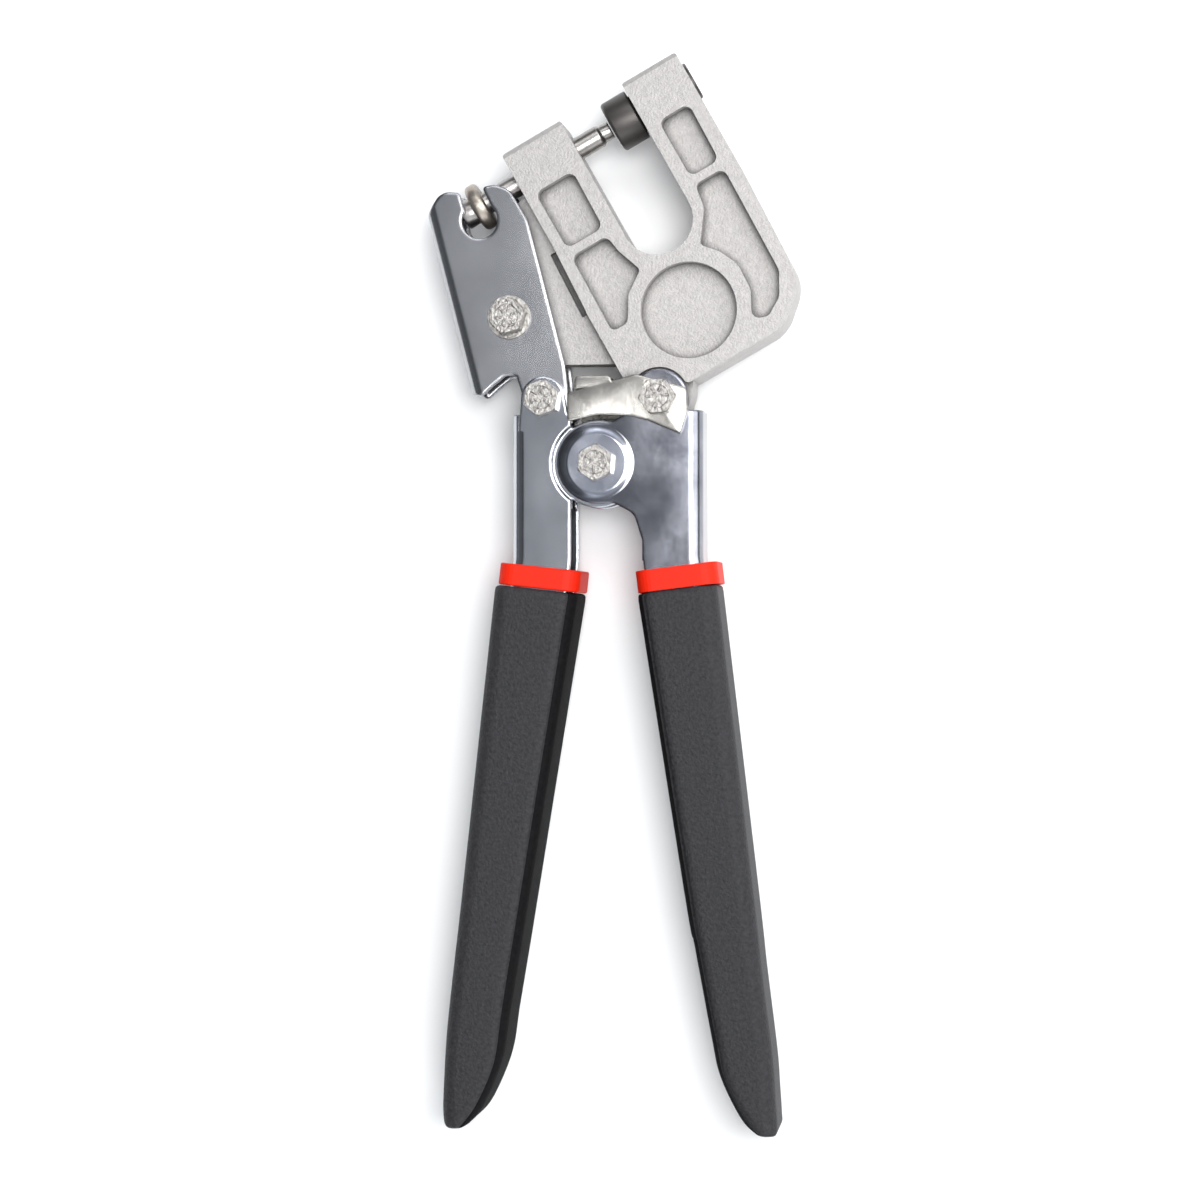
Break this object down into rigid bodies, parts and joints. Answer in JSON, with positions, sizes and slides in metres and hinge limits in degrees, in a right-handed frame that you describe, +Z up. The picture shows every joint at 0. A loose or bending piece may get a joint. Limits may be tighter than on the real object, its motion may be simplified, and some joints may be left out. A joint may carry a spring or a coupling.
{
  "type": "single-hand stud crimper",
  "caption": "Single-hand stud crimper with a cast U-throat head, a sliding punch and die, a folded lever and pressed handles with soft grips.",
  "frame": {"origin": "on the main pivot axis, in the plane that the nuts rest on", "axes": "+X to the right and +Y towards the head, seen from the bolt-head side; +Z up, along every hinge axis"},
  "size_m": [0.0916, 0.2639, 0.0247],
  "materials": {
    "cast_aluminium": "satin sand-cast",
    "blackened_steel": "black oxide",
    "punch_steel": "polished",
    "collar_steel": "bronze-toned dark",
    "lever_chrome": "polished",
    "handle_chrome": "polished",
    "zinc_steel": "zinc plated",
    "nickel_sheet": "satin nickel",
    "grip_vinyl": "matte pebbled",
    "band_orange": "matte"
  },
  "bodies": {
    "frame": {"frame": "cast_aluminium", "die": "blackened_steel"},
    "right_handle": {"right_handle": "handle_chrome", "right_grip": "grip_vinyl", "right_grip_band": "band_orange", "stop_bracket": "nickel_sheet", "frame_link_bolt": "zinc_steel", "frame_link_nut": "zinc_steel", "main_pivot_bolt": "zinc_steel", "main_pivot_nut": "zinc_steel"},
    "left_handle": {"left_handle": "handle_chrome", "left_grip": "grip_vinyl", "left_grip_band": "band_orange", "lever_link_bolt": "zinc_steel", "lever_link_spacer": "zinc_steel", "lever_link_nut": "zinc_steel", "main_pivot_spacer": "zinc_steel"},
    "lever": {"lever": "lever_chrome", "lever_pivot_bolt": "zinc_steel", "lever_pivot_washer": "zinc_steel", "lever_pivot_nut": "zinc_steel"},
    "punch": {"punch": "punch_steel", "punch_collar": "collar_steel"}
  },
  "joints": [
    {"name": "frame_link", "type": "hinge", "parent": "frame", "child": "right_handle", "pos_m": [0.0154, 0.0159, 0.012], "axis": [0, 0, 1], "range_deg": [-3.6, 1]},
    {"name": "main_pivot", "type": "hinge", "parent": "right_handle", "child": "left_handle", "pos_m": [0, 0, 0.012], "axis": [0, 0, 1], "range_deg": [-3, 12]},
    {"name": "lever_pivot", "type": "hinge", "parent": "frame", "child": "lever", "pos_m": [-0.022, 0.0362, 0.012], "axis": [0, 0, 1], "range_deg": [-9, 2.4]},
    {"name": "punch_slide", "type": "slide", "parent": "frame", "child": "punch", "axis": [0.8704, 0.4924, 0], "range_m": [-0.0013, 0.0049]}
  ],
  "couplings": [
    {"joint": "frame_link", "follows": "main_pivot", "ratio": -0.29},
    {"joint": "lever_pivot", "follows": "main_pivot", "ratio": -0.735},
    {"joint": "punch_slide", "follows": "main_pivot", "m_per_rad": 0.022918}
  ]
}
